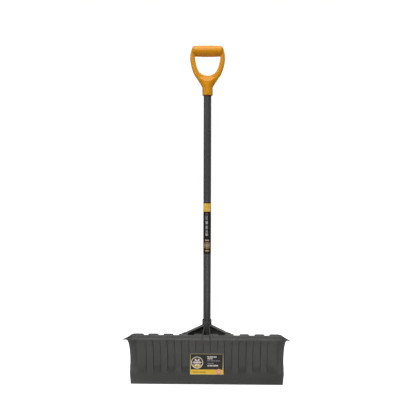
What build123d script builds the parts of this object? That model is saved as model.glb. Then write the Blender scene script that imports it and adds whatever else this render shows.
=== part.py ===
from build123d import *
from math import asin, cos, degrees, hypot, radians, sin, sqrt
import os

# Snow pusher: a wide ribbed blade, a socket bracket behind it, a straight tube shaft
# and a D-shaped hand grip.
# Frame: millimetres, +Z up along the shaft, -Y towards the hollow (front) side of the
# blade, origin at the middle of the flat under the blade's scraping edge.
# Blade angles are measured at the centre of each profile arc: 0 points backwards (+Y),
# 90 points up. "Depth" is measured outwards from the blade's front face.

# ---- blade profile ----
lower_radius = 141.0
lower_centre_height = 82.0
upper_radius = 284.0
upper_start = 62.0
crest_radius = 28.0
crest_start = 74.3
crest_end = 130.0
lip_length = 3.0
sheet = 3.5

# ---- blade width and its bent end wings ----
face_half_width = 277.0
wing_width = 33.5
wing_bend = 27.5
wing_fade_start = -20.0
wing_fade_end = 4.0
wing_fade_steps = 4
edge_half_width = 304.5
edge_overrun = 3.0
rim_corner_depth = 30.0

# ---- blade corrugation ----
rib_pitch = 57.4
panel_count = 10
panel_width = 30.0
panel_depth = 5.0
panel_wall_run = 3.0
panel_low = -15.5
panel_high = 80.0
panel_ramp = 30.0
panel_overrun = (6.0, 10.0)
label_pad_margin = 4.0
centre_rib_width = 22.0
centre_rib_flare = 6.0
centre_rib_height = 3.0

# ---- shaft ----
shaft_back = 46.3
shaft_diameter = 30.5
shaft_wall = 1.2
shaft_bottom = 110.0
shaft_top = 1190.0

# ---- socket bracket ----
collar_diameter = 38.0
collar_top = 258.0
collar_shoulder = (9.0, 3.0)
collar_dip_radius = 20.0
collar_dip_bottom = 243.0
socket_floor = 6.0
bore_clearance = 0.1
plate_front = 34.3
plate_thickness = 4.0
plate_half_width = 42.0
plate_top = 162.0
plate_corner = 8.0
gusset_thickness = 3.5
gusset_top = 229.0
gusset_front_angle = 68.0
gusset_low_angle = 31.0
gusset_start_x = 8.0
gusset_splay = 2.7
arm_x = 1.5 * rib_pitch
arm_angle = 56.0
arm_root = (12.0, 42.3, 228.5)
arm_flange_width = 16.0
arm_flange_thickness = 4.0
arm_web_depth = 62.0
arm_toe_depth = 9.0
arm_web_thickness = 4.0
foot_diameter = 22.0
foot_thickness = 5.0
blade_clearance = 0.4

# ---- screws between bracket and blade ----
boss_diameter = 15.0
boss_height = 6.0
screw_x = 0.5 * rib_pitch
screw_heights = (114.0, 150.0)
screw_diameter = 4.6
screw_length = 11.0
screw_head_diameter = 10.0
screw_head_height = 3.4
screw_hole = 5.0
screw_recess = 3.5
head_recess_diameter = 11.0
pilot_hole = 4.7
pilot_depth = 7.5

# ---- cross bolt ----
bolt_height = 180.0
bolt_diameter = 6.0
bolt_hole = 6.4
bolt_boss_diameter = 17.0
bolt_seat = 20.5
bolt_head_size = 10.0
bolt_head_height = 4.0
washer_diameter = 12.5
washer_thickness = 1.4
nut_height = 6.0
nut_hole = 6.1
bolt_tail = 2.5

# ---- hand grip ----
grip_top = 1346.0
grip_bottom = 1151.0
grip_socket_diameter = 41.5
grip_flare_start = 1183.0
grip_throat = 1226.0
grip_throat_half_width = 46.0
grip_saddle = ((20.75, 1204.0), (10.0, 1230.0))
grip_bar_diameter = 43.5
grip_bar_end_diameter = 39.5
grip_bar_half_length = 55.0
grip_cap_start = 50.0
grip_cap_end = 63.5
grip_cap_diameter = 42.4
grip_arm_depth = 27.0
grip_arm_round = 7.0
grip_outer = ((68.8, 1292.0), (64.8, 1267.0), (50.8, 1230.0), (33.5, 1203.0))
grip_opening = ((50.5, 1322.0), (49.2, 1290.0), (43.5, 1265.0), (30.5, 1240.0))
grip_shoulder = (59.5, 1339.5)
grip_shoulder_run = (0.4, -1.0)
grip_throat_run = (-0.5, -1.0)
grip_opening_bottom = 1228.0
grip_screw_height = 1168.0
grip_screw_seat_depth = 1.0

# ---- labels ----
label_thickness = 0.3
label_gap = 0.1
shaft_label_bottom = 520.0
shaft_label_top = 726.0
blade_label_half_width = 67.0
blade_label_bottom = 34.0
blade_label_top = 117.5

# ---- cutting tools reach this far past what they cut ----
past = 1.0
reach = 30.0
far = 400.0

# ---- derived geometry: arc centres as (y, z), planes of the cross bolt and the grip screw ----
edge_angle = -degrees(asin(lower_centre_height / lower_radius))
edge_front = lower_radius * cos(radians(edge_angle))
edge_back = sqrt((lower_radius + sheet) ** 2 - lower_centre_height ** 2)


def polar(centre, radius, angle):
    return (centre[0] + radius * cos(radians(angle)), centre[1] + radius * sin(radians(angle)))


lower_centre = (-(edge_front + edge_back) / 2, lower_centre_height)
upper_centre = polar(lower_centre, lower_radius - upper_radius, upper_start)
crest_centre = polar(upper_centre, upper_radius - crest_radius, crest_start)
floor_half = (panel_width - panel_wall_run) / 2
bolt_plane = Plane(origin=(0, shaft_back, bolt_height), x_dir=(0, 1, 0), z_dir=(1, 0, 0))
grip_screw_plane = Plane(origin=(0, shaft_back, grip_screw_height), x_dir=(1, 0, 0), z_dir=(0, 1, 0))
grip_screw_seat = grip_socket_diameter / 2 - grip_screw_seat_depth
bore_diameter = shaft_diameter + 2 * bore_clearance
profile_arcs = (
    (lower_centre, lower_radius, edge_angle - edge_overrun, upper_start),
    (upper_centre, upper_radius, upper_start, crest_start),
    (crest_centre, crest_radius, crest_start, crest_end),
)


def blade_point(angle, depth):
    """(y, z) of the point at an arc angle, this deep behind the front face."""
    for centre, radius, first, last in profile_arcs:
        if angle <= last:
            return polar(centre, radius + depth, angle)
    return polar(crest_centre, crest_radius + depth, crest_end)


def angle_at_height(height):
    """Arc angle of the front face's point at this height, on the lower arc."""
    return degrees(asin((height - lower_centre_height) / lower_radius))


def blade_path(first, last, lip=0.0):
    """The front face's profile in the YZ plane between two angles, with part of the lip."""
    edges = []
    for centre, radius, arc_first, arc_last in profile_arcs:
        start = max(first, arc_first)
        end = min(last, arc_last)
        if end > start:
            edges.append(Plane.YZ * CenterArc(centre, radius, start, end - start))
    if lip > 0:
        lip_start = Vector(0, *blade_point(crest_end, 0))
        lip_direction = Vector(0, -sin(radians(crest_end)), cos(radians(crest_end)))
        edges.append(Line(lip_start, lip_start + lip_direction * lip))
    return Wire(edges)


def section_plane(angle):
    """Plane across the blade at an angle: local x is X, local y points out of the back."""
    tangent = (0, -sin(radians(angle)), cos(radians(angle)))
    return Plane(origin=(0, *blade_point(angle, 0)), x_dir=(1, 0, 0), z_dir=tangent)


def swept(points, first, last, lip=0.0):
    """A closed (x, depth) outline carried along the blade's profile."""
    section = section_plane(first) * make_face(Polyline(*points, close=True))
    return sweep(section, path=blade_path(first, last, lip))


def both_sides(solid):
    return [solid, mirror(solid, about=Plane.YZ)]


def sheet_outline(bend):
    """Cross-section of the sheet, with both end wings bent forwards by this many degrees."""
    tip = (face_half_width + wing_width * cos(radians(bend)), -wing_width * sin(radians(bend)))
    back_of_tip = (tip[0] + sheet * sin(radians(bend)), tip[1] + sheet * cos(radians(bend)))
    right = [(face_half_width, 0), tip, back_of_tip, (face_half_width, sheet)]
    return right + [(-x, depth) for x, depth in reversed(right)]


def wing_fade():
    """The stretch of sheet in which the end wings go from flat to fully bent."""
    faces = []
    for step in range(wing_fade_steps + 1):
        share = step / wing_fade_steps
        angle = wing_fade_start + share * (wing_fade_end - wing_fade_start)
        bend = wing_bend * share * share * (3 - 2 * share)
        faces.append(section_plane(angle) * make_face(Polyline(*sheet_outline(bend), close=True)))
    return loft(faces)


def panel_solid(top, depth, half_width, end_shift, low):
    """One corrugation panel's volume between two depths, with sloping sides and ends."""
    flare = panel_wall_run / panel_depth
    outline = (
        (-half_width - flare * (panel_depth - top), top),
        (half_width + flare * (panel_depth - top), top),
        (half_width - flare * (depth - panel_depth), depth),
        (-half_width + flare * (depth - panel_depth), depth),
    )
    solid = swept(outline, low - panel_overrun[0], panel_high + panel_overrun[1])
    for angle, side in ((low, 1), (panel_high, -1)):
        plane = section_plane(angle)
        ramp = plane.z_dir * (side * cos(radians(panel_ramp)))
        ramp += plane.y_dir * sin(radians(panel_ramp))
        normal = Vector(1, 0, 0).cross(ramp)
        if normal.dot(plane.z_dir) * side < 0:
            normal = -normal
        end_plane = Plane(origin=plane.origin - normal * end_shift, x_dir=(1, 0, 0), z_dir=normal)
        solid = split(solid, bisect_by=end_plane, keep=Keep.TOP)
    return solid


def panel_pocket(low):
    """What a panel takes out of the blade's front, from its lower arc angle upwards."""
    return panel_solid(-past, panel_depth, floor_half, 0, low)


def panel_bulge(low, thickness):
    """What a panel adds to the blade's back: its pocket grown by a wall thickness."""
    wall_shift = thickness * hypot(panel_wall_run, panel_depth) / panel_depth
    return panel_solid(sheet / 2, panel_depth + thickness, floor_half + wall_shift, thickness, low)


def pad_top():
    """Arc angle at which the two middle panels start, above the flat pad for the label."""
    return angle_at_height(blade_label_top + label_pad_margin)


def at_panels(full_panel, short_panel):
    """Copies of a solid at every panel; the two middle panels take the short one."""
    copies = []
    for index in range(panel_count):
        x = (index - (panel_count - 1) / 2) * rib_pitch
        copies.append(Pos(x, 0, 0) * (short_panel if abs(x) < blade_label_half_width else full_panel))
    return copies


def boss_places():
    """Planes at the seat of each screw boss, looking out of the blade's back."""
    places = []
    for x in (-screw_x, screw_x):
        for height in screw_heights:
            places.append(Plane(origin=(x, plate_front, height), x_dir=(1, 0, 0), z_dir=(0, 1, 0)))
    for x in (-arm_x, arm_x):
        seat = blade_point(arm_angle, sheet + panel_depth + boss_height)
        outward = (0, cos(radians(arm_angle)), sin(radians(arm_angle)))
        places.append(Plane(origin=(x, *seat), x_dir=(1, 0, 0), z_dir=outward))
    return places


def cylinder_on(plane, diameter, start, length):
    """A cylinder along a plane's normal, from start to start + length."""
    base_centre = (Align.CENTER, Align.CENTER, Align.MIN)
    return plane.offset(start) * Cylinder(diameter / 2, length, align=base_centre)


def through_hole(plane, diameter):
    return cylinder_on(plane, diameter, -reach, 2 * reach)


def shaft_cylinder(diameter, bottom, top):
    """A cylinder on the shaft's axis between two heights."""
    return cylinder_on(Plane(origin=(0, shaft_back, bottom)), diameter, 0, top - bottom)


def centre_rib():
    """Raised rib on the back of the rolled top, above the socket."""
    half = centre_rib_width / 2
    foot = half + centre_rib_flare
    top = sheet + centre_rib_height
    outline = ((-foot, sheet / 2), (foot, sheet / 2), (half, top), (-half, top))
    return swept(outline, crest_start, crest_end, lip_length)


def blade():
    body = swept(sheet_outline(0), edge_angle - edge_overrun, wing_fade_start)
    body = body.fuse(wing_fade(), swept(sheet_outline(wing_bend), wing_fade_end, crest_end, lip_length))
    body = body.fuse(*at_panels(panel_bulge(panel_low, sheet), panel_bulge(pad_top(), sheet)))
    front_side = hollow_space(sheet / 2)
    posts = [cylinder_on(place, boss_diameter, -reach, reach) for place in boss_places()]
    body = body.fuse(*[post - front_side for post in posts])
    body = body.cut(*at_panels(panel_pocket(panel_low), panel_pocket(pad_top())))
    body = body.fuse(centre_rib())
    pilots = []
    for place in boss_places():
        pilots.append(cylinder_on(place, pilot_hole, -pilot_depth, pilot_depth + past))
    return body.cut(*pilots, *corner_trims())


def hollow_space(depth):
    """Everything on the hollow side of the blade, up to a depth behind its front face."""
    arcs = []
    for centre, radius, first, last in profile_arcs:
        arcs.append(Plane.YZ * CenterArc(centre, radius + depth, first, last - first))
    corner = Vector(0, -far, -far)
    outline = Wire(arcs + [Line(arcs[-1] @ 1, corner), Line(corner, arcs[0] @ 0)])
    return extrude(Face(outline), amount=face_half_width, dir=(1, 0, 0), both=True)


def corner_trims():
    """Cuts that square off the scraping edge and taper the four outer corners."""
    below = Pos(0, 0, -far / 2) * Box(2 * far, far, far)
    flat_half_width = face_half_width + wing_width
    full = flat_half_width + past
    fade_height = blade_point(wing_fade_start, 0)[1]
    foot = make_face(Polyline((full, fade_height), (full, -past), (edge_half_width, -past),
                              (flat_half_width, fade_height), close=True))
    foot_cut = extrude(Plane.XZ * foot, amount=far, both=True)
    rim_y = blade_point(crest_end, 0)[0] - lip_length
    taper_start = Vector(face_half_width, rim_y)
    taper_end = Vector(flat_half_width, rim_y + rim_corner_depth)
    inner = taper_start * 2 - taper_end
    outer = taper_end * 2 - taper_start
    corner = make_face(Polyline(inner, (outer.X, inner.Y), outer, close=True))
    rim_cut = Pos(0, 0, blade_point(upper_start, 0)[1]) * extrude(corner, amount=far)
    return [below, *both_sides(foot_cut), *both_sides(rim_cut)]


def gusset():
    """Plate from the socket forwards to the back of the blade's curl, right-hand side."""
    front = blade_point(gusset_front_angle, sheet)
    low = blade_point(gusset_low_angle, sheet)
    outline = Polyline((shaft_back, gusset_top), front, low, (plate_front, shaft_bottom),
                       (shaft_back, shaft_bottom), close=True)
    plate = extrude(Plane.YZ * make_face(outline), amount=gusset_thickness)
    hinge = Pos(gusset_start_x, shaft_back - collar_diameter / 2, 0)
    turned = hinge * Rot(0, 0, gusset_splay) * hinge.inverse()
    plate = turned * Pos(gusset_start_x, 0, 0) * plate
    near_bulge = Pos(rib_pitch / 2, 0, 0) * panel_bulge(pad_top(), sheet + blade_clearance)
    return plate - hollow_space(sheet + blade_clearance) - near_bulge


def arm():
    """Right-hand brace arm: a flat bar on a tapering web, and its round foot."""
    foot_plane = boss_places()[-1]
    foot = cylinder_on(foot_plane, foot_diameter, 0, foot_thickness)
    root = Vector(*arm_root)
    tip = foot_plane.origin + foot_plane.z_dir * (foot_thickness - arm_flange_thickness / 2)
    along = (tip - root).normalized()
    side = along.cross(Vector(0, 0, 1)).normalized()
    length = (tip - root).length
    flange = Plane(origin=root, x_dir=side, z_dir=along) * Rectangle(arm_flange_width, arm_flange_thickness)
    web_plane = Plane(origin=root, x_dir=along, z_dir=side)
    down = -1 if web_plane.y_dir.Z > 0 else 1
    taper = make_face(Polyline((0, 0), (length, 0), (length, down * arm_toe_depth),
                               (0, down * arm_web_depth), close=True))
    web = extrude(web_plane * taper, amount=arm_web_thickness / 2, both=True)
    bar = extrude(flange, amount=length, dir=along) + web
    under_foot = cylinder_on(foot_plane, 4 * foot_diameter, -reach, reach)
    return (bar + foot) - under_foot


def collar():
    """Socket tube with a chamfered rim that dips at the front and the back."""
    tube = shaft_cylinder(collar_diameter, shaft_bottom - socket_floor, collar_top)
    rim = tube.edges().sort_by(Axis.Z)[-1]
    wall = tube.faces().filter_by(GeomType.CYLINDER)[0]
    tube = chamfer(rim, length=collar_shoulder[0], length2=collar_shoulder[1], reference=wall)
    dip_plane = Plane(origin=(0, shaft_back, collar_dip_bottom + collar_dip_radius),
                      x_dir=(1, 0, 0), z_dir=(0, 1, 0))
    return tube - through_hole(dip_plane, 2 * collar_dip_radius)


def foot_plate():
    """Flat plate against the lower bosses, with rounded corners."""
    height = plate_top - shaft_bottom + socket_floor
    plate = Pos(0, plate_front, shaft_bottom - socket_floor) * Box(
        2 * plate_half_width, plate_thickness, height, align=(Align.CENTER, Align.MIN, Align.MIN))
    return fillet(plate.edges().filter_by(Axis.Y), radius=plate_corner)


def socket_bracket():
    bolt_boss = cylinder_on(bolt_plane, bolt_boss_diameter, -bolt_seat, 2 * bolt_seat)
    body = collar().fuse(foot_plate(), bolt_boss, *both_sides(gusset()), *both_sides(arm()))
    bore = shaft_cylinder(bore_diameter, shaft_bottom, collar_top + past)
    holes = [cylinder_on(place, screw_hole, -past, 2 * foot_thickness) for place in boss_places()]
    recesses = []
    for place in boss_places()[-2:]:
        recesses.append(cylinder_on(place, head_recess_diameter, foot_thickness, 3 * foot_thickness))
    return body.cut(bore, *holes, *recesses, through_hole(bolt_plane, bolt_hole))


def screw(plane, seat):
    """A pan-head screw whose head sits on the surface this far above the plane."""
    shank = cylinder_on(plane, screw_diameter, seat - screw_length, screw_length)
    head = cylinder_on(plane, screw_head_diameter, seat, screw_head_height)
    top = head.faces().filter_by(GeomType.PLANE).sort_by_distance(plane.offset(far).origin)[0]
    head = fillet(top.edges(), radius=screw_head_height / 2)
    recess_start = seat + screw_head_height / 2
    return shank + head - cylinder_on(plane, screw_recess, recess_start, screw_head_height)


def blade_screws():
    places = boss_places()
    central = [screw(place, plate_thickness) for place in places[:-2]]
    outer = [screw(place, foot_thickness) for place in places[-2:]]
    return Compound(children=central + outer)


def shaft():
    tube = shaft_cylinder(shaft_diameter, shaft_bottom, shaft_top)
    inside = shaft_cylinder(shaft_diameter - 2 * shaft_wall, shaft_bottom - past, shaft_top + past)
    screw_way = cylinder_on(grip_screw_plane, screw_hole, 0, reach)
    return tube.cut(inside, through_hole(bolt_plane, bolt_hole), screw_way)


def hexagon_on(plane, start, height):
    """A hexagonal prism of the cross bolt's spanner size."""
    outline = RegularPolygon(bolt_head_size / 2, 6, major_radius=False)
    return extrude(plane.offset(start) * outline, amount=height)


def shaft_bolt():
    head_seat = bolt_seat + washer_thickness
    length = 2 * head_seat + nut_height + bolt_tail
    shank = cylinder_on(bolt_plane, bolt_diameter, head_seat - length, length)
    return shank + hexagon_on(bolt_plane, head_seat, bolt_head_height)


def shaft_bolt_washers():
    rings = []
    for start in (bolt_seat, -bolt_seat - washer_thickness):
        ring = cylinder_on(bolt_plane, washer_diameter, start, washer_thickness)
        rings.append(ring - through_hole(bolt_plane, bolt_hole))
    return Compound(children=rings)


def shaft_nut():
    nut = hexagon_on(bolt_plane, -bolt_seat - washer_thickness - nut_height, nut_height)
    return nut - through_hole(bolt_plane, nut_hole)


def grip_bar():
    """Barrel-shaped crossbar, thickest in the middle."""
    half = grip_bar_half_length
    end = grip_bar_end_diameter / 2
    crown = ThreePointArc((-half, end), (0, grip_bar_diameter / 2), (half, end))
    rest = Polyline((half, end), (half, 0), (-half, 0), (-half, end))
    barrel = revolve(make_face(Plane.XZ * (crown + rest)), axis=Axis.X)
    return Pos(0, shaft_back, grip_top - grip_bar_diameter / 2) * barrel


def grip_cap():
    """Rounded cap over the right-hand end of the crossbar, at the top of its arm."""
    start = grip_cap_start
    end = grip_cap_end
    radius = grip_cap_diameter / 2
    crown = EllipticalCenterArc((start, 0), end - start, radius, start_angle=0, arc_size=90)
    rest = Polyline((start, radius), (start, 0), (end, 0))
    cap = revolve(make_face(Plane.XZ * (crown + rest)), axis=Axis.X)
    return Pos(0, shaft_back, grip_top - grip_bar_diameter / 2) * cap


def grip_throat_solid():
    """Flare from the socket out to both arms, its top sloping in to the hand opening."""
    radius = grip_socket_diameter / 2
    throat = loft([
        Plane(origin=(0, shaft_back, grip_flare_start)) * Circle(radius),
        Plane(origin=(0, shaft_back, grip_throat)) * Ellipse(grip_throat_half_width, radius),
    ])
    (low_depth, low_height), (high_depth, high_height) = grip_saddle
    for side in (-1, 1):
        slope = Vector(0, side * (high_height - low_height), low_depth - high_depth)
        seat = (0, shaft_back + side * low_depth, low_height)
        slope_plane = Plane(origin=seat, x_dir=(1, 0, 0), z_dir=slope)
        throat = split(throat, bisect_by=slope_plane, keep=Keep.BOTTOM)
    return throat


def grip_frame():
    """The D-shaped loop below the crossbar, with rounded front and back edges."""
    right = Spline(grip_shoulder, *grip_outer, tangents=(grip_shoulder_run, grip_throat_run))
    left = mirror(right, about=Plane.YZ)
    rim = right + Line(right @ 1, left @ 1) + left + Line(left @ 0, right @ 0)
    mirrored = [(-x, z) for x, z in reversed(grip_opening)]
    inner = Spline(*grip_opening, (0, grip_opening_bottom), *mirrored, tangents=((0, -1), (0, 1)))
    hole = inner + Line(inner @ 1, inner @ 0)
    outline = Plane.XZ * (make_face(rim) - make_face(hole))
    frame = extrude(outline, amount=grip_arm_depth / 2, both=True)
    outside_edges = frame.edges().filter_by(lambda edge: abs(edge.center().Y) > past)
    return Pos(0, shaft_back, 0) * fillet(outside_edges, radius=grip_arm_round)


def grip():
    socket = shaft_cylinder(grip_socket_diameter, grip_bottom, grip_flare_start)
    body = grip_frame().fuse(grip_bar(), *both_sides(grip_cap()), socket, grip_throat_solid())
    bore = shaft_cylinder(bore_diameter, grip_bottom - past, shaft_top)
    recess = cylinder_on(grip_screw_plane, head_recess_diameter, grip_screw_seat, reach)
    return body.cut(bore, recess, cylinder_on(grip_screw_plane, screw_hole, 0, reach))


def grip_screw():
    return screw(grip_screw_plane, grip_screw_seat)


def shaft_label():
    sleeve = shaft_cylinder(shaft_diameter + 2 * label_thickness, shaft_label_bottom, shaft_label_top)
    return sleeve - shaft_cylinder(shaft_diameter, shaft_label_bottom - past, shaft_label_top + past)


def blade_label():
    half = blade_label_half_width
    front = -label_gap - label_thickness
    outline = ((-half, front), (half, front), (half, -label_gap), (-half, -label_gap))
    return swept(outline, angle_at_height(blade_label_bottom), angle_at_height(blade_label_top))


nodes = {
    "blade": blade,
    "socket_bracket": socket_bracket,
    "blade_screws": blade_screws,
    "shaft": shaft,
    "shaft_bolt": shaft_bolt,
    "shaft_bolt_washers": shaft_bolt_washers,
    "shaft_nut": shaft_nut,
    "grip": grip,
    "grip_screw": grip_screw,
    "shaft_label": shaft_label,
    "blade_label": blade_label,
}

os.makedirs("parts", exist_ok=True)
for name, build in nodes.items():
    export_step(build(), f"parts/{name}.step")
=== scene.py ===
from math import asin, ceil, cos, degrees, pi, radians, sin, sqrt

import bmesh
import bpy
from mathutils import Euler, Matrix, Vector


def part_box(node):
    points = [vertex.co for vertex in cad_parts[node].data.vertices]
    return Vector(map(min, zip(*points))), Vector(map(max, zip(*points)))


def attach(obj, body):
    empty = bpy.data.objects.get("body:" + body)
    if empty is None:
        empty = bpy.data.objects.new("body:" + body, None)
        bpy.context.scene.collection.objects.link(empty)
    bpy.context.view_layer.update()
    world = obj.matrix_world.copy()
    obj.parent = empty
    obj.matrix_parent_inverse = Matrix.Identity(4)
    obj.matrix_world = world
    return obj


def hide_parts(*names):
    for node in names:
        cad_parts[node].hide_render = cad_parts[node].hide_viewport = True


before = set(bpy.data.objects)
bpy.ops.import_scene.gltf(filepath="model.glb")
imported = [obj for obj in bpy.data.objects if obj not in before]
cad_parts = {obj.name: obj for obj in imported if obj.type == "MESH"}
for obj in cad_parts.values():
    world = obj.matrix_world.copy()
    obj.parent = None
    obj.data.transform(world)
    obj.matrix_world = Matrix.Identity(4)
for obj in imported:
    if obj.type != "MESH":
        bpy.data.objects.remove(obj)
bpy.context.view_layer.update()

# A snow pusher in metres: +Z up along the shaft, -Y towards the hollow front of the blade.
# Lengths below are written in millimetres and multiplied by MM where they meet Blender.
MM = 0.001

# ---- blade sheet: the CAD blade's form, with curved wings and softer panel ends ----
# Angles are in degrees round the profile's arcs: 0 points backwards and 90 points up.
LOWER_RADIUS = 141.0
UPPER_RADIUS = 284.0
CREST_RADIUS = 28.0
LOWER_CENTRE_HEIGHT = 82.0
UPPER_START = 62.0
CREST_START = 74.3
CREST_END = 130.0
LIP_LENGTH = 3.0
SHEET = 3.5
FACE_HALF_WIDTH = 277.0
WING_WIDTH = 33.5
WING_BEND = radians(27.5)
WING_FADE = (-20.0, 4.0)
WING_CURVE = 9.0
EDGE_INSET = 6.0
RIM_CORNER_CUT = 30.0
TIP_FLARE = 0.2
RIB_PITCH = 57.4
PANEL_COUNT = 10
PANEL_DEPTH = 5.0
PANEL_FLOOR_HALF = 13.0
PANEL_MOUTH_HALF = 16.8
PANEL_BACK_EXTRA = 2.0
PANEL_BACK_SHIFT = 2.1
PANEL_LOW = -20.0
PANEL_HIGH = 80.0
PANEL_LOW_RAMP = 38.0
PANEL_HIGH_RAMP = 9.0
OUTER_PANEL_FADE = (268.0, 296.0)
LABEL_PAD_TOP = 119.5
PAD_PANEL_RAMP = 15.0
CENTRE_RIB_HALF = 11.0
CENTRE_RIB_SIDE = 6.0
CENTRE_RIB_HEIGHT = 3.0
SHEET_EDGE_ROUND = 1.1
SHEET_EDGE_ANGLE = 62

# ---- mesh density of the blade sheet ----
ROW_STEP = 3.0
WING_COLUMNS = 14
WING_CURVE_STEPS = 12
PANEL_COLUMN_OFFSETS = (0.0, 5.0, 9.5, 12.4, 13.4, 14.2, 15.0, 15.8, 16.6, 17.4, 18.2, 19.2, 23.5)

# ---- moulded copies: size of the mesh's grain and rounds of smoothing ----
BRACKET_GRAIN = (1.0, 8)
GRIP_GRAIN = (1.0, 14)
FASTENER_ROUND = 0.3

# ---- softness of the printed edges ----
PRINT_EDGE = 0.15


def smooth_step(share):
    share = min(1.0, max(0.0, share))
    return share * share * (3 - 2 * share)


def new_object(name, mesh):
    piece = bpy.data.objects.new(name, mesh)
    bpy.context.scene.collection.objects.link(piece)
    return piece


def shade_smooth(mesh):
    for polygon in mesh.polygons:
        polygon.use_smooth = True


def object_from_bmesh(name, bm):
    mesh = bpy.data.meshes.new(name)
    bm.to_mesh(mesh)
    bm.free()
    shade_smooth(mesh)
    return new_object(name, mesh)


def add_modifier(piece, kind, **settings):
    modifier = piece.modifiers.new(kind.lower(), kind)
    for key, value in settings.items():
        setattr(modifier, key, value)


def apply_modifiers(piece):
    graph = bpy.context.evaluated_depsgraph_get()
    mesh = bpy.data.meshes.new_from_object(piece.evaluated_get(graph))
    piece.modifiers.clear()
    piece.data = mesh
    shade_smooth(mesh)


# ---------------------------------------------------------------- material helpers

def srgb(red, green, blue):
    """Linear colour from 0-255 display values."""
    channels = []
    for value in (red, green, blue):
        level = value / 255
        channels.append(level / 12.92 if level <= 0.04045 else ((level + 0.055) / 1.055) ** 2.4)
    return (*channels, 1.0)


class Nodes:
    """Small helper that adds and links shader nodes."""

    def __init__(self, name):
        self.material = bpy.data.materials.new(name)
        self.material.use_nodes = True
        self.tree = self.material.node_tree
        self.shader = self.tree.nodes["Principled BSDF"]
        self.coords = self.add("ShaderNodeTexCoord").outputs["Object"]

    def add(self, kind, **settings):
        node = self.tree.nodes.new(kind)
        for key, value in settings.items():
            setattr(node, key, value)
        return node

    def link(self, source, target):
        if hasattr(source, "is_output"):
            self.tree.links.new(source, target)
        else:
            target.default_value = source

    def math(self, operation, first, second=0.0):
        node = self.add("ShaderNodeMath", operation=operation)
        self.link(first, node.inputs[0])
        self.link(second, node.inputs[1])
        return node.outputs[0]

    def mix(self, factor, first, second):
        node = self.add("ShaderNodeMix", data_type="RGBA")
        self.link(factor, node.inputs[0])
        self.link(first, node.inputs[6])
        self.link(second, node.inputs[7])
        return node.outputs[2]

    def noise(self, scale, detail=3.0, stretch=(1, 1, 1), roughness=0.5):
        """Noise from 0 to 1 in the object's own space; scale is in features per metre."""
        mapping = self.add("ShaderNodeMapping")
        mapping.inputs["Scale"].default_value = stretch
        self.link(self.coords, mapping.inputs["Vector"])
        node = self.add("ShaderNodeTexNoise")
        node.inputs["Scale"].default_value = scale
        node.inputs["Detail"].default_value = detail
        node.inputs["Roughness"].default_value = roughness
        self.link(mapping.outputs[0], node.inputs["Vector"])
        return node.outputs["Fac"]

    def span(self, value, low, high, to_low=0.0, to_high=1.0):
        """Maps low..high to to_low..to_high and holds the ends."""
        node = self.add("ShaderNodeMapRange")
        for socket, number in zip(node.inputs, (value, low, high, to_low, to_high)):
            self.link(number, socket)
        return node.outputs[0]

    def bump(self, height, strength, distance):
        node = self.add("ShaderNodeBump")
        node.inputs["Strength"].default_value = strength
        node.inputs["Distance"].default_value = distance
        self.link(height, node.inputs["Height"])
        return node.outputs[0]

    def set(self, **inputs):
        for key, value in inputs.items():
            self.link(value, self.shader.inputs[key.replace("_", " ")])

    def millimetres(self):
        """The object's own X, Y and Z in millimetres."""
        split = self.add("ShaderNodeSeparateXYZ")
        self.link(self.coords, split.inputs[0])
        return [self.math("MULTIPLY", axis, 1 / MM) for axis in split.outputs]

    def inside(self, field):
        """1 where a distance field is negative, with a soft print edge."""
        return self.span(field, PRINT_EDGE, -PRINT_EDGE)

    def bar(self, u, v, left, right, low, high):
        """A filled rectangle."""
        across = self.math("SUBTRACT", u, (left + right) / 2)
        up = self.math("SUBTRACT", v, (low + high) / 2)
        across = self.math("SUBTRACT", self.math("ABSOLUTE", across), (right - left) / 2)
        up = self.math("SUBTRACT", self.math("ABSOLUTE", up), (high - low) / 2)
        return self.inside(self.math("MAXIMUM", across, up))

    def radius(self, u, v, centre):
        """Offsets from a centre, and the distance from it."""
        across = self.math("SUBTRACT", u, centre[0])
        up = self.math("SUBTRACT", v, centre[1])
        squares = self.math("ADD", self.math("MULTIPLY", across, across), self.math("MULTIPLY", up, up))
        return across, up, self.math("SQRT", squares)

    def disc(self, u, v, centre, size):
        return self.inside(self.math("SUBTRACT", self.radius(u, v, centre)[2], size))

    def ring(self, u, v, centre, size, width):
        off = self.math("SUBTRACT", self.radius(u, v, centre)[2], size)
        return self.inside(self.math("SUBTRACT", self.math("ABSOLUTE", off), width / 2))

    def snowflake(self, u, v, centre, size):
        """Six straight arms, each with two pairs of side branches."""
        across, up, far = self.radius(u, v, centre)
        turn = self.math("PINGPONG", self.math("ARCTAN2", up, across), pi / 6)
        along = self.math("MULTIPLY", far, self.math("COSINE", turn))
        off = self.math("MULTIPLY", far, self.math("SINE", turn))
        thick = size * 0.055
        end = self.math("SUBTRACT", along, size)
        shape = self.inside(self.math("MAXIMUM", self.math("SUBTRACT", off, thick), end))
        for start, reach in ((0.42, 0.26), (0.68, 0.2)):
            lean = self.math("SUBTRACT", along, size * start)
            lean = self.math("MULTIPLY", lean, sin(pi / 3))
            lean = self.math("SUBTRACT", lean, self.math("MULTIPLY", off, cos(pi / 3)))
            branch = self.math("SUBTRACT", self.math("ABSOLUTE", lean), thick)
            branch = self.math("MAXIMUM", branch, self.math("SUBTRACT", off, size * reach))
            shape = self.math("MAXIMUM", shape, self.inside(branch))
        return shape


def toned(colour, factor, lift=0.0):
    """A linear colour made darker or lighter."""
    return (*(min(1.0, channel * factor + lift) for channel in colour[:3]), 1.0)


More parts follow.
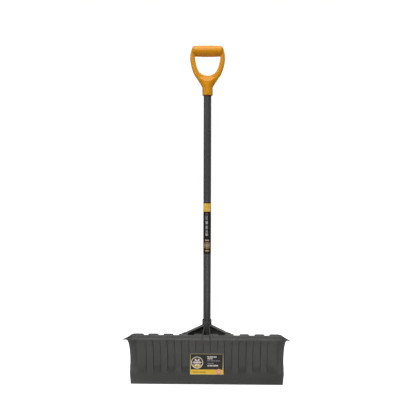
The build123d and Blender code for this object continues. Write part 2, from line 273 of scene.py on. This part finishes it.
def moulded_plastic(name, colour, rough, grain, grain_strength, tint, scuff, gloss):
    """Injection-moulded plastic: fine spark-eroded grain, slow colour drift and faint scuffs."""
    nodes = Nodes(name)
    drift = nodes.noise(9.0, 4.0)
    base = nodes.mix(nodes.span(drift, 0.3, 0.7), toned(colour, 1 - tint), toned(colour, 1 + tint))
    scratches = nodes.noise(60.0, 6.0, (1, 1, 0.06), 0.7)
    mark = nodes.span(scratches, 0.62, 0.78)
    pale = toned(colour, 1.8, 0.02)
    base = nodes.mix(nodes.math("MULTIPLY", mark, scuff), base, pale)
    fine = nodes.noise(grain, 2.0)
    roughness = nodes.span(nodes.noise(35.0, 5.0), 0.3, 0.7, rough - 0.06, rough + 0.06)
    normal = nodes.bump(fine, grain_strength, 0.0002)
    nodes.set(Base_Color=base, Roughness=roughness, Normal=normal, Specular_IOR_Level=gloss)
    return nodes.material


def painted_steel(name, colour):
    """Powder coat on a drawn tube: orange peel and faint long streaks."""
    nodes = Nodes(name)
    streak = nodes.noise(40.0, 3.0, (1, 1, 0.02))
    base = nodes.mix(nodes.span(streak, 0.3, 0.7), toned(colour, 0.86), toned(colour, 1.14))
    peel = nodes.noise(700.0, 2.0)
    roughness = nodes.span(nodes.noise(120.0, 4.0), 0.3, 0.7, 0.34, 0.46)
    nodes.set(Base_Color=base, Roughness=roughness, Normal=nodes.bump(peel, 0.25, 0.0003),
              Coat_Weight=0.25, Coat_Roughness=0.25)
    return nodes.material


def zinc_steel(name):
    """Zinc-plated fastener: metal with a fine brushed grain and slightly uneven plating."""
    nodes = Nodes(name)
    cloud = nodes.noise(300.0, 4.0)
    base = nodes.mix(nodes.span(cloud, 0.3, 0.7), srgb(128, 129, 125), srgb(168, 169, 164))
    roughness = nodes.span(nodes.noise(900.0, 3.0), 0.3, 0.7, 0.28, 0.42)
    nodes.set(Base_Color=base, Roughness=roughness, Metallic=1.0,
              Normal=nodes.bump(nodes.noise(2500.0, 2.0), 0.2, 0.0001))
    return nodes.material


# ---------------------------------------------------------------- blade

def polar(centre, radius, angle):
    return (centre[0] + radius * cos(radians(angle)), centre[1] + radius * sin(radians(angle)))


EDGE_ANGLE = -degrees(asin(LOWER_CENTRE_HEIGHT / LOWER_RADIUS))
EDGE_FRONT = LOWER_RADIUS * cos(radians(EDGE_ANGLE))
EDGE_BACK = sqrt((LOWER_RADIUS + SHEET) ** 2 - LOWER_CENTRE_HEIGHT ** 2)
LOWER_CENTRE = (-(EDGE_FRONT + EDGE_BACK) / 2, LOWER_CENTRE_HEIGHT)
UPPER_CENTRE = polar(LOWER_CENTRE, LOWER_RADIUS - UPPER_RADIUS, UPPER_START)
CREST_CENTRE = polar(UPPER_CENTRE, UPPER_RADIUS - CREST_RADIUS, CREST_START)
ARCS = (
    (LOWER_CENTRE, LOWER_RADIUS, EDGE_ANGLE, UPPER_START),
    (UPPER_CENTRE, UPPER_RADIUS, UPPER_START, CREST_START),
    (CREST_CENTRE, CREST_RADIUS, CREST_START, CREST_END),
)
ARC_LENGTHS = [radius * radians(last - first) for _, radius, first, last in ARCS]
PROFILE_LENGTH = sum(ARC_LENGTHS) + LIP_LENGTH


def profile_at(distance):
    """Front-face point (y, z) and arc angle at a distance along the profile from the edge."""
    for (centre, radius, first, last), length in zip(ARCS, ARC_LENGTHS):
        if distance <= length:
            angle = first + degrees(distance / radius)
            return polar(centre, radius, angle), angle
        distance -= length
    start = polar(CREST_CENTRE, CREST_RADIUS, CREST_END)
    run = radians(CREST_END)
    return (start[0] - sin(run) * distance, start[1] + cos(run) * distance), CREST_END


def distance_at(angle):
    """Distance along the profile of an arc angle."""
    total = 0.0
    for _, radius, first, last in ARCS:
        total += radius * radians(max(0.0, min(angle, last) - first))
    return total


def panel_share(x, floor_half, mouth_half):
    """1 over a panel's floor and 0 on the strips between, with rounded slopes; the outermost
    panels run out into the end wings."""
    outermost = (PANEL_COUNT - 1) / 2 * RIB_PITCH
    if abs(x) > outermost:
        start, end = OUTER_PANEL_FADE
        return smooth_step((end - abs(x)) / (end - start))
    nearest = (round(x / RIB_PITCH - 0.5) + 0.5) * RIB_PITCH
    return smooth_step((mouth_half - abs(x - nearest)) / (mouth_half - floor_half))


def panel_end_share(x, distance, shift):
    """Fades the panels in at their lower ends, or above the label's flat pad, and out under the crest."""
    low = distance_at(PANEL_LOW)
    ramp = PANEL_LOW_RAMP
    if abs(x) < RIB_PITCH:
        low = distance_at(degrees(asin((LABEL_PAD_TOP - LOWER_CENTRE_HEIGHT) / LOWER_RADIUS)))
        ramp = PAD_PANEL_RAMP
    high = distance_at(PANEL_HIGH)
    fade_in = smooth_step((distance - low + shift) / ramp)
    return fade_in * smooth_step((high + shift - distance) / PANEL_HIGH_RAMP)


def wing_point(run, bend):
    """Sideways and outward travel after this developed distance into a wing."""
    across = 0.0
    depth = 0.0
    for step in range(WING_CURVE_STEPS):
        middle = (step + 0.5) / WING_CURVE_STEPS * run
        turn = bend * smooth_step(middle / WING_CURVE)
        across += cos(turn) * run / WING_CURVE_STEPS
        depth -= sin(turn) * run / WING_CURVE_STEPS
    return across, depth


def blade_vertex(x, distance, layer):
    """A point of the sheet: x is developed width, layer 0 is the front face and 1 the back."""
    run = max(0.0, abs(x) - FACE_HALF_WIDTH)
    crest = distance_at(UPPER_START)
    if run > 0 and distance > crest:
        kept = 1 - RIM_CORNER_CUT / (PROFILE_LENGTH - crest) * run / WING_WIDTH
        distance = crest + (distance - crest) * kept
    (y, z), angle = profile_at(distance)
    fade_height = profile_at(distance_at(WING_FADE[0]))[0][1]
    if run > 0 and z < fade_height:
        run *= 1 - EDGE_INSET / WING_WIDTH * (1 - z / fade_height)
    run *= 1 + TIP_FLARE * smooth_step((angle - UPPER_START) / (CREST_START - UPPER_START))
    bend = WING_BEND * smooth_step((angle - WING_FADE[0]) / (WING_FADE[1] - WING_FADE[0]))
    across, depth = wing_point(run, bend)
    if layer == 0:
        share = panel_share(x, PANEL_FLOOR_HALF, PANEL_MOUTH_HALF)
        depth += PANEL_DEPTH * share * panel_end_share(x, distance, 0.0)
    else:
        share = panel_share(x, PANEL_FLOOR_HALF + PANEL_BACK_EXTRA, PANEL_MOUTH_HALF + PANEL_BACK_EXTRA)
        depth += SHEET + PANEL_DEPTH * share * panel_end_share(x, distance, PANEL_BACK_SHIFT)
        rib = smooth_step((CENTRE_RIB_HALF + CENTRE_RIB_SIDE - abs(x)) / CENTRE_RIB_SIDE)
        rib *= smooth_step((distance - distance_at(CREST_START)) / PANEL_HIGH_RAMP)
        depth += CENTRE_RIB_HEIGHT * rib
    side = (1 if x > 0 else -1) * (min(abs(x), FACE_HALF_WIDTH) + across)
    y += depth * cos(radians(angle))
    z += depth * sin(radians(angle))
    return Vector((side, y, max(0.0, z))) * MM


def blade_columns():
    """Developed x positions, close together where the corrugation slopes."""
    columns = set()
    for index in range(PANEL_COUNT):
        centre = (index - (PANEL_COUNT - 1) / 2) * RIB_PITCH
        for offset in PANEL_COLUMN_OFFSETS:
            columns.add(round(centre - offset, 3))
            columns.add(round(centre + offset, 3))
    for index in range(PANEL_COUNT - 1):
        columns.add(round((index - (PANEL_COUNT - 2) / 2) * RIB_PITCH, 3))
    for step in range(WING_COLUMNS + 1):
        edge = FACE_HALF_WIDTH + WING_WIDTH * step / WING_COLUMNS
        columns.update((edge, -edge))
    return sorted(column for column in columns if abs(column) <= FACE_HALF_WIDTH + WING_WIDTH)


def blade_sheet():
    """The moulded sheet as one closed mesh: front and back grids joined round the outline."""
    columns = blade_columns()
    count = ceil(PROFILE_LENGTH / ROW_STEP)
    rows = [PROFILE_LENGTH * row / count for row in range(count + 1)]
    bm = bmesh.new()
    layers = []
    for layer in (0, 1):
        layers.append([[bm.verts.new(blade_vertex(x, row, layer)) for x in columns] for row in rows])
    front, back = layers
    last_row = len(rows) - 1
    last_column = len(columns) - 1
    for row in range(last_row):
        for column in range(last_column):
            for grid, flip in ((front, False), (back, True)):
                corners = [grid[row][column], grid[row][column + 1],
                           grid[row + 1][column + 1], grid[row + 1][column]]
                bm.faces.new(corners[::-1] if flip else corners)
    outline = [(0, column) for column in range(last_column)]
    outline += [(row, last_column) for row in range(last_row)]
    outline += [(last_row, column) for column in range(last_column, 0, -1)]
    outline += [(row, 0) for row in range(last_row, 0, -1)]
    for here, there in zip(outline, outline[1:] + outline[:1]):
        bm.faces.new([front[there[0]][there[1]], front[here[0]][here[1]],
                      back[here[0]][here[1]], back[there[0]][there[1]]])
    bmesh.ops.recalc_face_normals(bm, faces=bm.faces)
    blade = object_from_bmesh("blade_moulding", bm)
    add_modifier(blade, "BEVEL", width=SHEET_EDGE_ROUND * MM, segments=3, limit_method="ANGLE",
                 angle_limit=radians(SHEET_EDGE_ANGLE))
    return blade


# ---------------------------------------------------------------- screw bosses behind the blade

BOSS_RADIUS = 7.5
BOSS_HOLE_RADIUS = 2.35
BOSS_HOLE_DEPTH = 7.5
PANEL_ROOT_DEPTH = 7.0
PAD_ROOT_DEPTH = 2.0
BOSS_SIDES = 48
BOSS_EDGE = 0.8
BOSS_FLARES = ((2.6, 0.0), (1.2, 1.3), (0.4, 2.6), (0.0, 4.2))
PLATE_SEAT = 34.3
PLATE_ROWS = ((114.0, PAD_ROOT_DEPTH), (150.0, PANEL_ROOT_DEPTH))
FOOT_ANGLE = 56.0
FOOT_SEAT_DEPTH = 14.5


def root_distance(point, outward, root_depth):
    """Distance from a point behind the blade to the level inside the sheet where a boss starts."""
    y = point[0] - LOWER_CENTRE[0]
    z = point[1] - LOWER_CENTRE[1]
    along = y * outward[0] + z * outward[1]
    radius = LOWER_RADIUS + root_depth
    return along - sqrt(along * along - y * y - z * z + radius * radius)


def boss_ring(bm, x, seat, outward, radius, drop, root_depth=None):
    """A ring of vertices: drop is measured down from the seat, or up from the root if one is given."""
    ring = []
    for side in range(BOSS_SIDES):
        turn = 2 * pi * side / BOSS_SIDES
        y = seat[0] - outward[1] * radius * sin(turn)
        z = seat[1] + outward[0] * radius * sin(turn)
        distance = drop if root_depth is None else root_distance((y, z), outward, root_depth) - drop
        place = Vector((x + radius * cos(turn), y - outward[0] * distance, z - outward[1] * distance))
        ring.append(bm.verts.new(place * MM))
    return ring


def add_boss(bm, x, seat, outward, root_depth):
    """A round post with a flared foot, a softened rim and a blind screw hole."""
    rings = []
    for flare, rise in BOSS_FLARES:
        rings.append(boss_ring(bm, x, seat, outward, BOSS_RADIUS + flare, rise, root_depth))
    for inset, drop in ((0.0, BOSS_EDGE), (0.3 * BOSS_EDGE, 0.3 * BOSS_EDGE), (BOSS_EDGE, 0.0)):
        rings.append(boss_ring(bm, x, seat, outward, BOSS_RADIUS - inset, drop))
    for extra, drop in ((0.5, 0.0), (0.0, 0.5), (0.0, BOSS_HOLE_DEPTH)):
        rings.append(boss_ring(bm, x, seat, outward, BOSS_HOLE_RADIUS + extra, drop))
    for lower, upper in zip(rings, rings[1:]):
        for side in range(BOSS_SIDES):
            after = (side + 1) % BOSS_SIDES
            bm.faces.new((lower[side], lower[after], upper[after], upper[side]))
    bm.faces.new(rings[0])
    bm.faces.new(rings[-1])


def blade_bosses():
    bm = bmesh.new()
    foot_seat = polar(LOWER_CENTRE, LOWER_RADIUS + FOOT_SEAT_DEPTH, FOOT_ANGLE)
    foot_outward = (cos(radians(FOOT_ANGLE)), sin(radians(FOOT_ANGLE)))
    for side in (-1, 1):
        for height, root_depth in PLATE_ROWS:
            add_boss(bm, side * RIB_PITCH / 2, (PLATE_SEAT, height), (1.0, 0.0), root_depth)
        add_boss(bm, side * RIB_PITCH * 1.5, foot_seat, foot_outward, PANEL_ROOT_DEPTH)
    bmesh.ops.recalc_face_normals(bm, faces=bm.faces)
    return object_from_bmesh("blade_bosses", bm)


# ---------------------------------------------------------------- mouldings worked from the CAD shapes

def moulded_copy(node, name, grain_size, rounds):
    """A fine even mesh copied from a CAD node, with the softened edges and corners of a moulding."""
    piece = new_object(name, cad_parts[node].data.copy())
    add_modifier(piece, "WELD", merge_threshold=0.01 * MM)
    add_modifier(piece, "REMESH", mode="VOXEL", voxel_size=grain_size * MM)
    add_modifier(piece, "SMOOTH", factor=0.5, iterations=rounds)
    apply_modifiers(piece)
    return piece


def soften_edges(piece, width):
    """Breaks the sharp edges of a small CAD part with modifiers only."""
    add_modifier(piece, "WELD", merge_threshold=0.01 * MM)
    add_modifier(piece, "BEVEL", width=width * MM, segments=2, limit_method="ANGLE",
                 angle_limit=radians(40), harden_normals=True)


# ---------------------------------------------------------------- printed labels

BLADE_LABEL_HALF = 67.0
BLADE_LABEL_BOTTOM = 34.0
BLADE_LABEL_TOP = 117.5
BLADE_STRIP_TOP = 52.3
LABEL_BORDER = 2.2
EMBLEM_CENTRE = (-39.0, 80.0)
EMBLEM_SIZE = 23.0
EMBLEM_FLAKE = 18.0
EMBLEM_GROUND = 71.5
SEAL_CENTRE = (48.5, 43.5)
SEAL_SIZE = 11.0

SHAFT_BAND = (690.0, 723.0)
# Top, bottom and grey level of each bar on the shaft's label.
SHAFT_BARS = ((683.0, 677.0, 96), (673.0, 657.0, 132), (653.0, 640.0, 178), (634.0, 620.0, 150),
              (615.0, 606.0, 150), (603.0, 593.0, 176))
SHAFT_EMBLEM = (0.0, 554.0)
SHAFT_EMBLEM_SIZE = 12.0
SHAFT_SPOT = (8.0, 698.0)
SHAFT_SPOT_SIZE = 3.6


def film_finish(nodes, base):
    """Gloss film over print: faint mottle in the ink, fine ripple in the film."""
    mottle = nodes.noise(220.0, 4.0)
    worn = nodes.mix(nodes.span(mottle, 0.35, 0.75, 0.0, 0.07), base, srgb(120, 116, 108))
    roughness = nodes.span(nodes.noise(90.0, 4.0), 0.3, 0.7, 0.30, 0.42)
    nodes.set(Base_Color=worn, Roughness=roughness, Specular_IOR_Level=0.25,
              Normal=nodes.bump(nodes.noise(160.0, 2.0), 0.12, 0.0004))


def blade_label_material():
    """Dark panel with a yellow strip, a border, a snowflake emblem, word-like bars and a plain seal."""
    nodes = Nodes("blade_label_print")
    x, _, z = nodes.millimetres()
    yellow = nodes.mix(nodes.span(x, -20.0, 45.0), srgb(255, 206, 52), srgb(255, 204, 30))
    base = nodes.mix(nodes.bar(x, z, -100.0, 100.0, 0.0, BLADE_STRIP_TOP), srgb(34, 29, 28), yellow)
    inner = nodes.bar(x, z, LABEL_BORDER - BLADE_LABEL_HALF, BLADE_LABEL_HALF - LABEL_BORDER,
                      BLADE_LABEL_BOTTOM + LABEL_BORDER, BLADE_LABEL_TOP - LABEL_BORDER)
    fade = nodes.span(z, BLADE_STRIP_TOP, BLADE_LABEL_TOP)
    border = nodes.mix(fade, srgb(252, 234, 140), srgb(158, 142, 112))
    base = nodes.mix(inner, border, base)
    base = nodes.mix(nodes.disc(x, z, EMBLEM_CENTRE, EMBLEM_SIZE), base, srgb(84, 38, 58))
    ground = nodes.math("MULTIPLY", nodes.disc(x, z, EMBLEM_CENTRE, EMBLEM_SIZE),
                        nodes.span(z, EMBLEM_GROUND + 0.2, EMBLEM_GROUND - 0.2))
    base = nodes.mix(ground, base, srgb(206, 174, 84))
    base = nodes.mix(nodes.snowflake(x, z, EMBLEM_CENTRE, EMBLEM_FLAKE), base, srgb(250, 250, 240))
    base = nodes.mix(nodes.ring(x, z, EMBLEM_CENTRE, EMBLEM_SIZE, 2.4), base, srgb(250, 244, 216))
    white = srgb(218, 214, 206)
    grey = srgb(158, 154, 158)
    ochre = srgb(206, 160, 34)
    for low, high, ink, words in (
        (101.0, 106.0, white, ((1.5, 11.0), (12.5, 26.0), (27.5, 39.5))),
        (93.6, 98.0, white, ((3.0, 14.0), (15.5, 23.5))),
        (85.6, 88.2, grey, ((1.5, 15.0), (17.5, 33.0), (35.0, 54.0))),
        (75.0, 77.8, grey, ((2.5, 16.0), (18.0, 28.0))),
        (64.8, 70.4, white, ((3.0, 9.0), (11.0, 24.0), (26.0, 45.5))),
        (40.6, 44.6, ochre, ((-56.0, -33.0), (-30.0, -4.5))),
    ):
        for left, right in words:
            base = nodes.mix(nodes.bar(x, z, left, right, low, high), base, ink)
    base = nodes.mix(nodes.disc(x, z, SEAL_CENTRE, SEAL_SIZE), base, srgb(255, 196, 146))
    base = nodes.mix(nodes.ring(x, z, SEAL_CENTRE, SEAL_SIZE - 3.0, 2.0), base, srgb(232, 138, 96))
    film_finish(nodes, base)
    return nodes.material


def shaft_label_material():
    """Dark wrap with a yellow band, a column of bars and a snowflake emblem on its front."""
    nodes = Nodes("shaft_label_print")
    x, y, z = nodes.millimetres()
    axis_y = (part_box("shaft")[0].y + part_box("shaft")[1].y) / 2 / MM
    front = nodes.span(y, axis_y + PRINT_EDGE, axis_y - PRINT_EDGE)
    base = nodes.mix(nodes.span(nodes.noise(25.0), 0.3, 0.7), srgb(30, 24, 22), srgb(42, 34, 30))
    art = nodes.disc(x, z, SHAFT_EMBLEM, SHAFT_EMBLEM_SIZE)
    base = nodes.mix(nodes.math("MULTIPLY", art, front), base, srgb(104, 84, 62))
    for shape, ink in (
        (nodes.snowflake(x, z, SHAFT_EMBLEM, SHAFT_EMBLEM_SIZE * 0.8), srgb(214, 196, 176)),
        (nodes.ring(x, z, SHAFT_EMBLEM, SHAFT_EMBLEM_SIZE, 1.8), srgb(206, 172, 104)),
        (nodes.bar(x, z, -8.0, 8.0, 530.0, 536.0), srgb(196, 160, 92)),
        (nodes.bar(x, z, -8.0, 8.0, 572.0, 578.0), srgb(188, 166, 150)),
    ):
        base = nodes.mix(nodes.math("MULTIPLY", shape, front), base, ink)
    for high, low, grey in SHAFT_BARS:
        shape = nodes.math("MULTIPLY", nodes.bar(x, z, -6.5, 3.0, low, high), front)
        base = nodes.mix(shape, base, srgb(grey, grey, grey))
    seam = nodes.math("SUBTRACT", 1.0, front)
    seam = nodes.math("MULTIPLY", seam, nodes.bar(x, z, 0.0, 0.8, 0.0, 2000.0))
    band = nodes.mix(nodes.span(nodes.noise(60.0), 0.3, 0.7), srgb(250, 190, 62), srgb(255, 212, 96))
    base = nodes.mix(nodes.bar(x, z, -100.0, 100.0, *SHAFT_BAND), base, band)
    spot = nodes.math("MULTIPLY", nodes.disc(x, z, SHAFT_SPOT, SHAFT_SPOT_SIZE), front)
    base = nodes.mix(spot, base, srgb(255, 220, 184))
    base = nodes.mix(seam, base, srgb(14, 12, 11))
    film_finish(nodes, base)
    return nodes.material


# ---------------------------------------------------------------- pieces and their materials

def set_material(piece, material):
    piece.data.materials.clear()
    piece.data.materials.append(material)


def add_piece(piece, material, slot, *stands_for):
    """Puts a finished piece on the object's one body."""
    set_material(piece, material)
    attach(piece, "root")
    if stands_for:
        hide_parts(*stands_for)


blade_plastic = moulded_plastic("blade_plastic", srgb(62, 62, 60), 0.52, 900.0, 0.35, 0.10, 0.12, 0.5)
bracket_plastic = moulded_plastic("bracket_plastic", srgb(86, 87, 84), 0.58, 1100.0, 0.25,
                                  0.12, 0.10, 0.25)
grip_plastic = moulded_plastic("grip_plastic", srgb(238, 158, 6), 0.40, 1400.0, 0.18, 0.05, 0.04, 0.3)
shaft_paint = painted_steel("shaft_paint", srgb(72, 71, 70))
fastener_metal = zinc_steel("fastener_metal")

add_piece(blade_sheet(), blade_plastic, "blade", "blade")
add_piece(blade_bosses(), blade_plastic, "blade")
bracket = moulded_copy("socket_bracket", "bracket_moulding", *BRACKET_GRAIN)
add_piece(bracket, bracket_plastic, "bracket", "socket_bracket")
grip = moulded_copy("grip", "grip_moulding", *GRIP_GRAIN)
add_piece(grip, grip_plastic, "grip", "grip")

for node in ("blade_screws", "shaft_bolt", "shaft_bolt_washers", "shaft_nut", "grip_screw"):
    set_material(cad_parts[node], fastener_metal)
    soften_edges(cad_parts[node], FASTENER_ROUND)
set_material(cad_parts["shaft"], shaft_paint)
set_material(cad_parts["shaft_label"], shaft_label_material())
set_material(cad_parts["blade_label"], blade_label_material())

# ---------------------------------------------------------------- floor, light and camera

FLOOR_SIZE = 40.0
FLOOR_GLOW = 1.0
FLOOR_BOUNCE = 0.85
BOUNCE_SPAN = (0.3, 0.9)
BACKDROP_GLOW = 1.05
AMBIENT_SPAN = (0.1, -0.9)
SIDE_AMBIENT = 0.06
FRONT_AMBIENT = 0.15
LIGHT_TARGET = (0, 0, 0.7)


def camera_ray(tree):
    """1 for what the camera sees directly and 0 for light that bounces."""
    return tree.nodes.new("ShaderNodeLightPath").outputs["Is Camera Ray"]


def floor():
    """Pale flat paper floor: it glows for the camera, so that it runs into the backdrop, and it
    throws light up at the blade from close by, as an overlit white floor does."""
    bm = bmesh.new()
    bmesh.ops.create_grid(bm, x_segments=1, y_segments=1, size=FLOOR_SIZE / 2)
    piece = object_from_bmesh("floor", bm)
    nodes = Nodes("floor_paper")
    tone = nodes.mix(nodes.noise(2.0, 2.0), (0.52, 0.52, 0.52, 1), (0.56, 0.56, 0.56, 1))
    away = nodes.add("ShaderNodeVectorMath", operation="LENGTH")
    nodes.link(nodes.coords, away.inputs[0])
    bounce = nodes.span(away.outputs["Value"], *BOUNCE_SPAN, FLOOR_BOUNCE, 0.0)
    seen = camera_ray(nodes.tree)
    glow = nodes.math("MULTIPLY", seen, FLOOR_GLOW)
    unseen = nodes.math("SUBTRACT", 1.0, seen)
    strength = nodes.math("ADD", glow, nodes.math("MULTIPLY", unseen, bounce))
    nodes.set(Base_Color=tone, Roughness=0.9, Emission_Color=(1, 1, 1, 1), Emission_Strength=strength)
    set_material(piece, nodes.material)


def backdrop():
    """White for the camera; the object sees dark sides and a soft grey front."""
    world = bpy.data.worlds.new("studio")
    world.use_nodes = True
    tree = world.node_tree
    background = tree.nodes["Background"]
    background.inputs["Color"].default_value = (1, 1, 1, 1)
    coords = tree.nodes.new("ShaderNodeTexCoord")
    split = tree.nodes.new("ShaderNodeSeparateXYZ")
    tree.links.new(coords.outputs["Generated"], split.inputs[0])
    ambient = tree.nodes.new("ShaderNodeMapRange")
    tree.links.new(split.outputs["Y"], ambient.inputs[0])
    for socket, value in zip(ambient.inputs[1:5], (*AMBIENT_SPAN, SIDE_AMBIENT, FRONT_AMBIENT)):
        socket.default_value = value
    level = tree.nodes.new("ShaderNodeMapRange")
    tree.links.new(camera_ray(tree), level.inputs[0])
    tree.links.new(ambient.outputs[0], level.inputs[3])
    level.inputs[4].default_value = BACKDROP_GLOW
    tree.links.new(level.outputs[0], background.inputs["Strength"])
    bpy.context.scene.world = world


def area_light(name, place, target, size, power, spread=pi):
    """Soft light that the camera doesn't see; a narrow spread keeps it on its target."""
    light = bpy.data.lights.new(name, "AREA")
    light.spread = spread
    light.shape = "RECTANGLE"
    light.size, light.size_y = size
    light.energy = power
    piece = new_object(name, light)
    piece.visible_camera = False
    piece.location = place
    piece.rotation_euler = (Vector(target) - Vector(place)).to_track_quat("-Z", "Y").to_euler()


CAMERA_PLACE = (0.03087, -1.96, 0.811)
CAMERA_AZIMUTH = radians(0.85)
CAMERA_PITCH = radians(3.0)
CAMERA_ROLL = radians(0.15)
CAMERA_LENS = 43.37
CAMERA_SENSOR = 36.0


def camera():
    data = bpy.data.cameras.new("camera")
    data.sensor_width = CAMERA_SENSOR
    data.lens = CAMERA_LENS
    piece = new_object("camera", data)
    piece.location = CAMERA_PLACE
    turn = Euler((pi / 2 - CAMERA_PITCH, 0, CAMERA_AZIMUTH)).to_matrix()
    piece.rotation_euler = (turn @ Matrix.Rotation(CAMERA_ROLL, 3, "Z")).to_euler()
    bpy.context.scene.camera = piece


floor()
backdrop()
area_light("key", (-0.6, -2.2, 2.9), LIGHT_TARGET, (1.6, 1.2), 35)
area_light("top", (0, -0.5, 3.2), LIGHT_TARGET, (2.0, 1.6), 39)
area_light("left", (-2.2, -0.9, 1.6), LIGHT_TARGET, (1.0, 1.6), 4.5)
area_light("back", (0, 2.2, 1.9), (0, 0, 0.6), (2.4, 1.4), 15)
area_light("right", (2.4, 0.6, 1.3), LIGHT_TARGET, (1.0, 1.6), 3.5)
area_light("low", (0, -1.5, 0.22), (0, 0, 0.14), (0.9, 0.3), 0.55, radians(66))
camera()
bpy.context.scene.view_settings.view_transform = "Standard"
